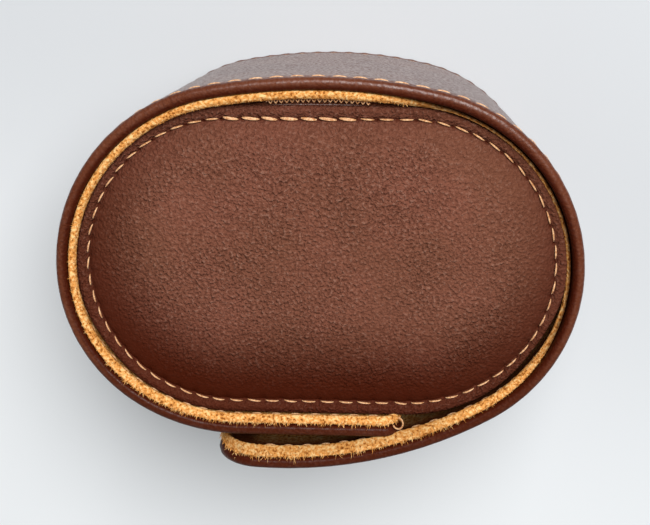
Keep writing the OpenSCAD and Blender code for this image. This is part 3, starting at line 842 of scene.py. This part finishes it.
def row_of_stitches(start, stop, tip, radius, rng):
    """Flat stitches outside and inside the wrap, along both edges and across a tip."""
    bm = bmesh.new()
    low, high = sorted((start, stop))
    upright = Matrix.Rotation(math.pi / 2, 4, "Y")
    outer_stitch = stitch(stitch_length, 0.42 * mm, 0.32 * mm, slant=0.05)
    inner_stitch = stitch(stitch_length * 0.75, 0.38 * mm, 0.2 * mm, slant=-0.1)
    spots = []
    for i in range(math.ceil(low / stitch_pitch), math.floor(high / stitch_pitch) + 1):
        s = i * stitch_pitch
        if not radius or abs(tip - s) > radius:
            spots += [(s, z, Matrix()) for z in (stitch_line, case_height - stitch_line)]
    if radius:
        half = int((half_height - radius) / stitch_pitch)
        across = tip - math.copysign(stitch_line, tip)
        spots += [(across, half_height + i * stitch_pitch, upright)
                  for i in range(-half, half + 1)]
    for s, z, turn in spots:
        drift = Vector((rng.gauss(0, 0.05), 0, rng.gauss(0, 0.05))) * mm
        height = -0.4 * mm if z < half_height else -0.1 * mm
        plant(bm, outer_stitch, Matrix.Translation(Vector((s, height, z)) + drift) @ turn
              @ Matrix.Scale(rng.uniform(0.95, 1.05), 4, (1, 0, 0)))
        if sunk(s) < 0.5 * mm:
            inside = Vector((s, -3.34 * mm - 0.7 * flare(s) - swelling(s, 0), z)) + drift
            plant(bm, inner_stitch,
                  Matrix.Translation(inside) @ turn @ Matrix.Scale(-1, 4, (0, 1, 0)))
    return bm


for fold, (start, stop, has_tip, radius) in reaches.items():
    bm = row_of_stitches(start, stop, tip_outer if stop > 0 else tip_inner, radius, rng)
    outwards(bm)
    bend(bm, wrap_at)
    piece(fold + "_stitches", bm, pale_thread, fold=fold,
          stands_for=[s + "_stitches" for s in stands[fold]])

# %% [markdown]
# ## The padded ends of the drum
# Each end is foam under leather, held by a ring of stitches close to the rim: outside the
# stitches the leather rolls over into a bead, inside them it swells up over the foam. One
# section from the crown to the rim is swept round the oval. All sections meet in the line
# along the middle, where the crown is flat, so no seam shows there. A subdivided disc would
# also do, but the sweep has its points where the stitches pull, and nowhere else.

# %% The line and the section of a drum end
end_back = back_y - wrap_depth - 3.5 * mm
end_front = widest_y - front_depth + wrap_depth + 1.1 * mm
end_bend, end_middle = (end_back - end_front) / 2, (end_back + end_front) / 2
end_straight = half_width - wrap_depth - 0.5 * mm - end_bend
half_turn = math.pi * end_bend
end_line = Line((0, end_middle + end_bend, 0), [
    (end_straight, 0), (half_turn, 1 / end_bend), (2 * end_straight, 0), (half_turn, 1 / end_bend),
    (end_straight, 0)])
end_pitch, end_stitch, end_groove = 3.65 * mm, 2.6 * mm, 1.65 * mm
end_count = round((end_line.length - 2 * math.pi * end_groove) / end_pitch)
rim_height = case_height - 2.9 * mm
collar_under, plate_under = case_height - 9.6 * mm, case_height - 8.7 * mm


@functools.lru_cache(maxsize=None)
def end_at(s):
    return end_line.at(s % end_line.length)


def crown(inset):
    """Height of the padded face over the rim, in mm, at a distance in mm from the edge."""
    swell = 1 - math.exp(-max(0.0, inset - 1.7) / 0.8)
    return -0.5 + 0.75 * swell + 1.55 * (1 - (1 - min(1.0, max(0.0, inset - 1.7) / 17)) ** 2.2)


rim = [(0, -6.3), (0, -4), (0, -2.4), (0.0, -1.3), (0.03, -0.8), (0.1, -0.45), (0.22, -0.2),
       (0.4, -0.05), (0.62, 0.02), (0.86, 0.0), (1.08, -0.1), (1.28, -0.25), (1.46, -0.4)]
face = [(d, crown(d)) for d in (1.65, 1.8, 2.0, 2.25, 2.55, 2.9, 3.4, 4, 4.8, 5.8, 7, 8.5, 10, 12,
                                14, 16.5, 19, 22, 25, 28.5)]


@functools.lru_cache(maxsize=None)
def groove_at(s):
    """Distance of the stitching from the edge: it sits further back on the left and front."""
    heading = end_at(s)[2]
    left, front = max(0.0, math.sin(heading)), max(0.0, -math.cos(heading))
    return end_groove + (0.65 * left ** 2 + 0.6 * front ** 2) * mm


@functools.lru_cache(maxsize=None)
def rim_bulge(s):
    """How far the rim leans out over the gap between the drum and the lining."""
    x, y, heading = end_at(s)
    out = Vector((-math.sin(heading), math.cos(heading)))
    gap = min(math.hypot(wx - x, wy - y) for wx, wy in wrap_points) - wrap_depth - 0.3 * mm
    lean = min(1.25 * mm, max(0.0, gap) + 1.1 * mm * smoothstep(out.x, 0.35, 0.9))
    left, front = smoothstep(-out.x, 0.5, 0.95), smoothstep(-out.y, 0.5, 0.95)
    return lean * smoothstep(out.y, -0.6, 0) + 0.45 * mm * left + 0.75 * mm * front


wrap_points = [wrap_at(i * mm)[:2] for i in range(-110, 111)]
print(end_count, "stitches round each end; crown", round(crown(30), 2), "mm over the rim")


# %% The two padded ends
both_ends = ((1, "top_end"), (0, "base_end"))


def settle(bm, top):
    """Leaves a piece of the top end as it is, or turns it into its twin at the base."""
    if not top:
        for v in bm.verts:
            v.co.z = case_height - v.co.z
        bmesh.ops.reverse_faces(bm, faces=bm.faces[:])


end_runs = [(length, half_turn / 218 if curvature else end_straight / 40)
            for length, curvature in end_line.legs]


def padded_end(top):
    outline = [(-d * mm, rim_height + h * mm, 0) for d, h in rim + face]
    outline += [(-end_bend, rim_height + crown(31) * mm, 0), (-end_bend, plate_under, 0),
                (-1.2 * mm, plate_under, 0), (-1.2 * mm, collar_under, 0)]
    bm = sweep(outline, 0, end_runs, ends=False)
    taut, burnish_and_shade = bm.verts.layers.float["taut"], bm.verts.layers.float["burnish_and_shade"]
    for v in bm.verts:
        inset, height = -v.co.y, v.co.z - rim_height
        if height < -3 * mm:
            continue
        groove, heading = groove_at(v.co.x % end_line.length), end_at(v.co.x)[2]
        # Painted shade: 'shade' grows towards the front and the left, which face away from the light, and
        # darkens a band along the rim there, widest at the front.
        shade = max(0.0, 0.5 + 0.14 * math.sin(heading) - 0.45 * math.cos(heading))
        v[taut] = fade(inset, 2 * mm, 11 * mm) * smoothstep(inset, 1.2 * mm, 2 * mm, 0.3)
        v[taut] *= 0.4 + 0.6 * shade
        v[burnish_and_shade] = fade(inset, 5 * shade * mm, (8 + 16 * shade) * mm) * (0.1 + 0.9 * shade ** 0.6)
        further = groove - end_groove
        v.co.y -= further * (min(1.0, inset / end_groove) - smoothstep(inset, 2 * mm, 15 * mm))
        if inset < end_groove:
            upper = smoothstep(height, -2.6 * mm, -0.9 * mm)
            v.co.y += rim_bulge(v.co.x) * (1 - inset / end_groove) * upper
            v.co.z += further * 0.3 * math.sin(math.pi * inset / end_groove)
            # Painted shade on the rim bead, darkest at the front.
            v[burnish_and_shade] = 0.35 + 0.5 * shade
        ring = (v.co.x / end_line.length * end_count) % 1
        to_hole = min(ring, 1 - ring) * end_line.length / end_count
        across = inset - end_groove
        # Painted shade in the stitch groove, darkest at the holes.
        seam = hump(across, 0.4 * mm) * (0.45 + 0.5 * hump(to_hole, 0.6 * mm))
        v[burnish_and_shade] = max(v[burnish_and_shade], seam)
        hole = hump(to_hole, 0.5 * mm) * hump(across, 0.55 * mm)
        knuckle = hump(to_hole, 0.7 * mm) * hump(across + 0.75 * mm, 0.4 * mm)
        dimple = hump(to_hole, 0.9 * mm) * hump(across - 0.9 * mm, 0.7 * mm)
        wrinkle = noise.noise(Vector((v.co.x / (0.75 * mm), inset / (2.2 * mm), 7.0 * top)))
        wrinkle *= hump(inset - 1.0 * mm, 1.1 * mm)
        v.co.z += (0.1 * knuckle - 0.42 * hole - 0.18 * dimple + 0.09 * wrinkle) * mm
    bend(bm, end_at)
    for v in bm.verts:
        if v.co.z > rim_height:
            place = Vector((v.co.x, v.co.y, 40 * mm * top)) / (17 * mm)
            padded = smoothstep(v.co.z, rim_height, rim_height + 1.4 * mm)
            v.co.z += 0.14 * mm * noise.noise(place) * padded
    middle = {v for v in bm.verts
              if abs(v.co.y - end_middle) < 0.02 * mm and abs(v.co.x) < end_straight + mm}
    inside = [f for f in bm.faces if middle.issuperset(f.verts)]
    bmesh.ops.delete(bm, geom=inside, context="FACES")
    bmesh.ops.remove_doubles(bm, verts=[v for v in middle if v.is_valid], dist=0.2 * mm)
    bmesh.ops.remove_doubles(bm, verts=bm.verts[:], dist=1e-5)
    outwards(bm)
    return bm


for top, end in both_ends:
    bm = padded_end(top)
    settle(bm, top)
    made = piece(end, bm, end_calf, body="core",
                 stands_for=[end + "_face", end + "_foam", end + "_board"])

# %% [markdown]
# ## The stitches of the ends
# The ring of stitches holds the cover down on the rim. It is hand-like work: no two
# stitches are quite alike, and the thread is doubled for a few of them at the back. The
# same seed stitch is copied round the oval with small random changes, drawn from a
# generator with a fixed seed, so the ring is the same each time the scene is built.

# %% The ring of stitches
end_seed = stitch(end_stitch, 0.37 * mm, 0.4 * mm, slant=0.08, rings=9)
for top, end in both_ends:
    bm = bmesh.new()
    for i in range(end_count):
        s = end_line.length * (i + 0.5) / end_count
        x, y, heading = end_at(s)
        heavy = 1.8 if abs(x + 6 * mm) < 14 * mm and y > 0 else 1.0
        drift = Vector((rng.gauss(0, 0.05), 0.2, rng.gauss(0, 0.04))) * mm
        place = Matrix.Translation(Vector((s, -groove_at(s), rim_height - 0.2 * mm)) + drift)
        place @= Matrix.Rotation(math.pi / 2, 4, "X")
        place @= Matrix.Rotation(rng.gauss(0.0, 0.03), 4, "Y")
        stretch = end_line.length / (end_count * end_pitch) * rng.uniform(0.93, 1.05)
        size = (stretch * heavy ** 0.3, heavy ** 0.5, heavy, 1)
        plant(bm, end_seed, place @ Matrix.Diagonal(size))
    outwards(bm)
    bend(bm, end_at)
    settle(bm, top)
    piece(end + "_stitches", bm, pale_thread, body="core",
          stands_for=[end + "_stitches"])

# %% [markdown]
# ## Collars and the inside faces of the ends
# Each end's leather runs down the drum as a collar, which is glued on the cradle's back and
# sides and leaves the front open, so that the pillow can slide out. The inside of each end
# is faced with suede. Both are swept along the same oval as the ends.

# %% Collars and inner faces
collar_length = 5.3 * mm
open_at = end_straight + end_bend * (
    math.pi / 2 + math.asin((end_middle - widest_y + 12 * mm) / end_bend))


def rounded_bar(outer, inner, low, high, radius):
    """A closed section between two depths and two heights, with round corners."""
    loop = []
    for y, z, start in ((outer - radius, high - radius, 0), (inner + radius, high - radius, 90),
                        (inner + radius, low + radius, 180), (outer - radius, low + radius, 270)):
        for i in range(4):
            a = math.radians(start + 30 * i)
            loop.append((y + radius * math.cos(a), z + radius * math.sin(a), 0))
    return loop


def along_drum(outer, inner, low, high, radius):
    """A strip round the drum's back and sides."""
    bm = sweep(rounded_bar(outer, inner, low, high, radius), -open_at,
               [(hair, hair), (2 * open_at - 2 * hair, 1.2 * mm), (hair, hair)])
    bend(bm, end_at)
    outwards(bm)
    return bm


def lining_plate(low, high, inset, radius):
    """A suede plate that fills the oval under a drum end."""
    bar = rounded_bar(-inset, -inset - 4 * mm, low, high, radius)
    right = [p for p in bar if p[0] > -inset - 2 * mm]
    low_half = sorted((p for p in right if p[1] < (low + high) / 2), key=lambda p: p[0])
    high_half = sorted((p for p in right if p[1] >= (low + high) / 2), key=lambda p: -p[0])
    flat = [15 * mm, 8 * mm]
    loop = [(-end_bend, low, 0)] + [(-d, low, 0) for d in flat] + low_half + high_half + [
        (-d, high, 0) for d in reversed(flat)] + [(-end_bend, high, 0)]
    bm = sweep(loop, 0, [(length, step * 3) for length, step in end_runs], ends=False)
    bend(bm, end_at)
    bmesh.ops.remove_doubles(bm, verts=bm.verts[:], dist=1e-5)
    outwards(bm)
    return bm


for top, end in both_ends:
    collar = along_drum(0, -1.2 * mm, collar_under - collar_length,
                        collar_under - 0.02 * mm, 0.3 * mm)
    plate = lining_plate(collar_under - 0.05 * mm, plate_under - 0.02 * mm, 1.25 * mm, 0.3 * mm)
    settle(collar, top)
    settle(plate, top)
    piece(end + "_collar", collar, calf, body="core")
    piece(end + "_lining_suede", plate, lining_suede, body="core",
          stands_for=[end + "_lining"])

# %% [markdown]
# ## The cradle
# Between the two ends stands a curved tray, covered with suede, that holds the pillow. It is
# one more section swept along the drum's oval, which stops where the collars stop, so the
# front is an opening. A solid drum with a hole cut by a Boolean would leave ragged edges.

# %% The cradle
cradle = along_drum(-1.25 * mm, -3.9 * mm, case_height - collar_under + 0.05 * mm,
                    collar_under - 0.05 * mm, 0.8 * mm)
piece("cradle", cradle, lining_suede, body="core",
      stands_for=["cradle_shell", "cradle_lining"])

# %% [markdown]
# ## The spine pad and its fine seam
# The drum hangs on the spine by a pad of leather, closed along its top with a fine zigzag
# of thin thread. The pad fills the gap between the lining and the drum, so each of its
# sections reaches from the one to the other, and the gap is found by a search for the
# depth at which the drum begins.


# %% The pad
def depth_to_drum(s):
    """Depth under the wrap's outer face at which the drum's side is met."""
    x, y, heading = wrap_at(s)
    low, high = wrap_depth, 12 * mm
    for _ in range(30):
        middle = (low + high) / 2
        px, py = x + middle * math.sin(heading), y - middle * math.cos(heading)
        beyond = max(0.0, abs(px) - end_straight)
        inside = math.hypot(beyond, py - end_middle) < end_bend
        low, high = (low, middle) if inside else (middle, high)
    return low


pad_reach, pad_top = 25.4 * mm, case_height - 3.9 * mm


def pad():
    half = [(0.0, 30), (0.0, 8), (0.0, 3), (0.0, 1.2), (0.05, 0.5), (0.17, 0.12), (0.32, 0.0),
            (0.44, 0.12), (0.5, 0.34), (0.56, 0.12), (0.68, 0.0), (0.83, 0.12), (0.95, 0.5),
            (1.0, 1.2), (1.0, 3), (1.0, 8), (1.0, 30)]
    section = [(a, pad_top - d * mm, 0) for a, d in half]
    section += [(a, case_height - z, 0) for a, z, _ in reversed(section)]
    bm = sweep(section, -pad_reach,
               [(hair, hair), (2 * pad_reach - 2 * hair, 0.7 * mm), (hair, hair)])
    for v in bm.verts:
        near, far = wrap_depth + 0.02 * mm, depth_to_drum(v.co.x) - 0.02 * mm
        sag = 1 + 0.35 * noise.noise(Vector((v.co.x / (4 * mm), 3, 0)))
        if abs(v.co.z - half_height) > 33 * mm:
            v.co.z -= math.copysign(0.25 * mm * sag, v.co.z - half_height)
        v.co.y = -(near + (far - near) * v.co.y)
    bend(bm, wrap_at)
    outwards(bm)
    return bm


piece("spine_pad_leather", pad(), calf, body="core", stands_for=["spine_pad"])
print("the gap at the spine is", round((depth_to_drum(0.0) - wrap_depth) / mm, 2), "mm wide")


# %% [markdown]
# ## The fine seam
# The pad's top edge is closed by a zigzag of thin thread. A thread is a tube through a row
# of points, and here the points step from side to side. It is one object at each end.

# %% The fine seam
for top, end in ((1, "top"), (0, "base")):
    count, pitch = 19, 1.1 * mm
    points = []
    for i in range(count * 4 + 1):
        s = (i / 4 - count / 2) * pitch
        side = (0, 1, 0, -1)[i % 4] * 0.36 * mm
        points.append(Vector((s, -wrap_depth - 1.2 * mm + side,
                              pad_top + (1.6 - 0.18 * (i % 2)) * mm)))
    bm = thread_along(points, lambda i: 0.15 * mm)
    bend(bm, wrap_at)
    settle(bm, top)
    piece(end + "_spine_seam", bm, pale_thread, body="core",
          stands_for=["spine_seam_stitches"])

# %% [markdown]
# ## The thread end at the inner flap's tip
# Where the row of stitches ends at the inner flap, its tail is laid back in a small loop
# round the corner of the suede. It is one thread again, along an oval.

# %% The loop
loop = []
for i in range(33):
    a = math.radians(30 + i * 7.2)
    across, outward = 0.8 + 1.05 * math.cos(a), 1.15 * math.sin(a) - 3.3
    up = 0.3 - 0.6 * (i / 16 - 1) ** 2
    loop.append(Vector((tip_inner, 0, case_height)) + Vector((across, outward, up)) * mm)
bm = thread_along(loop, lambda i: 0.17 * mm, sides=6)
bend(bm, wrap_at)
piece("inner_flap_thread_end", bm, pale_thread, body="inner_flap")

# %% [markdown]
# ## Snap caps
# Two snaps close the flaps. A cap is a thin domed shell with a rolled rim, turned on a
# lathe, and a lathe is what the spin tool is: half a section, turned once round its axis.


# %% The caps
snap_at = sum(length for length, _ in outer_line.legs[:3]) + wide_length
cap_section = [(0, 1.42), (1.5, 1.38), (3.0, 1.25), (4.1, 1.05), (4.45, 0.93), (4.65, 0.8),
               (4.85, 0.84), (5.2, 0.94), (5.7, 0.92), (6.05, 0.7), (6.2, 0.38), (6.1, 0.1),
               (5.8, -0.02), (1.5, -0.02), (1.5, -3.5), (0, -3.5)]
bm = bmesh.new()
x, y, heading = wrap_at(snap_at)
for side in (-1, 1):
    points = [bm.verts.new((r * mm, 0, h * mm)) for r, h in cap_section]
    lathe = [bm.edges.new(pair) for pair in zip(points, points[1:])]
    made = bmesh.ops.spin(bm, geom=lathe, axis=(0, 0, 1), cent=(0, 0, 0), angle=2 * math.pi,
                          steps=64, use_merge=True)
    cap = [v for v in bm.verts if not v.tag]
    place = (Matrix.Translation((x, y, half_height + side * 17 * mm))
             @ Matrix.Rotation(heading, 4, "Z") @ Matrix.Rotation(-math.pi / 2, 4, "X"))
    for v in cap:
        v.co = place @ v.co
        v.tag = True
bmesh.ops.remove_doubles(bm, verts=bm.verts[:], dist=1e-6)
outwards(bm)
piece("snap_cap_domes", bm, brass, body="outer_flap", stands_for=["snap_caps"], sharp=40)

# %% [markdown]
# ## The pillow
# The pillow is a stuffed suede sleeve between two stiff end discs. Cloth with a little
# pressure inside gives the soft swelling that a stuffed sleeve has, with its small
# hollows and the pull towards the discs. The discs stay flat, with a piped seam round them.

# %% The pillow's sleeve
pillow_back, pillow_low, pillow_high = end_back - 4.3 * mm, 10 * mm, 66 * mm
pillow_width, pillow_depth, pillow_bend = 64 * mm, 45 * mm, 18 * mm
pillow_middle = pillow_back - pillow_depth / 2
ring_points, disc_depth = 96, 1.9 * mm


def pillow_ring(inset):
    """Points round the pillow, evenly by length of its rounded outline."""
    half_x, half_y = pillow_width / 2 - pillow_bend, pillow_depth / 2 - pillow_bend
    corner = (math.pi / 2 * pillow_bend, 1 / pillow_bend)
    line = Line((0, pillow_back, 0), [
        (half_x, 0), corner, (2 * half_y, 0), corner, (2 * half_x, 0), corner, (2 * half_y, 0),
        corner, (half_x, 0)])
    ring = []
    for i in range(ring_points):
        x, y, heading = line.at(line.length * i / ring_points)
        ring.append(Vector((x + inset * math.sin(heading), y - inset * math.cos(heading), 0)))
    return ring


def sleeve_blank(inset, low, high):
    """A closed drum of the pillow's outline, as the start of the cloth."""
    bm = bmesh.new()
    ring = [bm.verts.new(p + Vector((0, 0, low))) for p in pillow_ring(inset)]
    bottom = bm.faces.new(ring)
    grown = bmesh.ops.extrude_face_region(bm, geom=[bottom], use_keep_orig=True)
    bmesh.ops.translate(bm, vec=(0, 0, high - low), verts=only(bmesh.types.BMVert, grown["geom"]))
    outwards(bm)
    return bm


def evaluated(made):
    """The mesh of an object with its modifiers applied, which are then taken off."""
    mesh = bpy.data.meshes.new_from_object(
        made.evaluated_get(bpy.context.evaluated_depsgraph_get()))
    made.modifiers.clear()
    return mesh


def stuffed(blank, cap):
    """Swells a blank with Cloth, never further than a cap, and returns its mesh."""
    mesh = bpy.data.meshes.new("sleeve")
    blank.to_mesh(mesh)
    blank.free()
    made = add_object("sleeve", mesh)
    remesh = made.modifiers.new("remesh", "REMESH")
    remesh.mode, remesh.voxel_size = "VOXEL", 2.6 * mm
    made.data = evaluated(made)
    start = [v.co.copy() for v in made.data.vertices]
    cloth = made.modifiers.new("cloth", "CLOTH")
    cloth.settings.use_pressure = True
    cloth.settings.uniform_pressure_force = 4
    cloth.settings.effector_weights.gravity = 0
    for frame_number in range(1, 21):
        bpy.context.scene.frame_set(frame_number)
    made.data = evaluated(made)
    bpy.context.scene.frame_set(1)
    for v, old in zip(made.data.vertices, start):
        move = v.co - old
        if move.length > cap:
            v.co = old + move.normalized() * cap
    result = made.data
    bpy.data.objects.remove(made)
    return result


swollen = stuffed(sleeve_blank(1.6 * mm, pillow_low + 2.2 * mm, pillow_high - 2.2 * mm), 2.2 * mm)
bm = bmesh.new()
bm.from_mesh(swollen)
for v in bm.verts:
    v.co.z = min(pillow_high - disc_depth, max(pillow_low + disc_depth, v.co.z))
    v.co.y = min(v.co.y, pillow_back)
    gather = fade(min(v.co.z - pillow_low, pillow_high - v.co.z), 2 * mm, 9 * mm)
    around = math.atan2(v.co.y - pillow_middle, v.co.x)
    pull = 0.35 * mm * gather * math.sin(around * 46 + 2.0 * math.sin(around * 7))
    flat = Vector((v.co.x, v.co.y - pillow_middle, 0)).normalized()
    v.co += flat * pull
bmesh.ops.subdivide_edges(bm, edges=bm.edges[:], cuts=1, use_grid_fill=True, smooth=0.6)
sleeve = piece("pillow_sleeve", bm, lining_suede, body="pillow",
               stands_for=["pillow_cover", "pillow_foam"])
print("the sleeve is", [round(v / mm, 1) for v in sleeve.dimensions], "mm")

# %% [markdown]
# ## The pillow's end discs
# Each disc is leather over card, with its edge rolled and a sewn line inside the edge. The
# card starts as one face with the pillow's outline and is extruded to its thickness. Then
# the outer face is inset again and again, with a small rise or fall each time. Inset keeps
# the distance to the edge even all round, which scaling a copy of the outline would not.

# %% The end discs
for name, z, way in (("pillow_top_disc", pillow_high, -1), ("pillow_base_disc", pillow_low, 1)):
    bm = bmesh.new()
    back = bm.faces.new([bm.verts.new((p.x, p.y, z + way * disc_depth)) for p in pillow_ring(0)])
    back.normal_update()
    if back.normal.z * way > 0:
        back.normal_flip()
    grown = bmesh.ops.extrude_face_region(bm, geom=[back], use_keep_orig=True)["geom"]
    bmesh.ops.translate(bm, vec=(0, 0, -way * 1.2 * mm), verts=only(bmesh.types.BMVert, grown))
    disc_face = only(bmesh.types.BMFace, grown)[0]
    disc_face.normal_update()
    for inward, drop in ((0.12, 0.35), (0.28, 0.27), (0.5, 0.08), (1.3, -0.06), (0.4, -0.16),
                         (0.4, 0.16), (2, 0.06), (5, 0)):
        bmesh.ops.inset_region(bm, faces=[disc_face], thickness=inward * mm, depth=drop * mm,
                               use_even_offset=True, use_boundary=True)
    outwards(bm)
    disc = piece(name, bm, calf, body="pillow", stands_for=["pillow_ends"])

# %% [markdown]
# ## The pieces that come straight from the frame
# Boards, felts, foam, snap sockets and the pillow's core keep the solids that the frame
# brings in, because they are plain and mostly hidden. They only need a finish, which is
# chosen by a word in the name of each node. A list of words is easier to keep right than a
# material set by hand on each of some forty objects.

# %% Finishes for the frame's own solids
finish_words = (
    ("board", grey_board), ("felt", grey_felt), ("foam", cream_foam), ("core", cream_foam),
    ("lining", lining_suede), ("cover", lining_suede), ("stitches", pale_thread), ("snap", brass))
for name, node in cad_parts.items():
    finish = next((material for word, material in finish_words if word in name), calf)
    for slot in node.material_slots:
        slot.material = finish
print("nodes with a finish:", len(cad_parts))
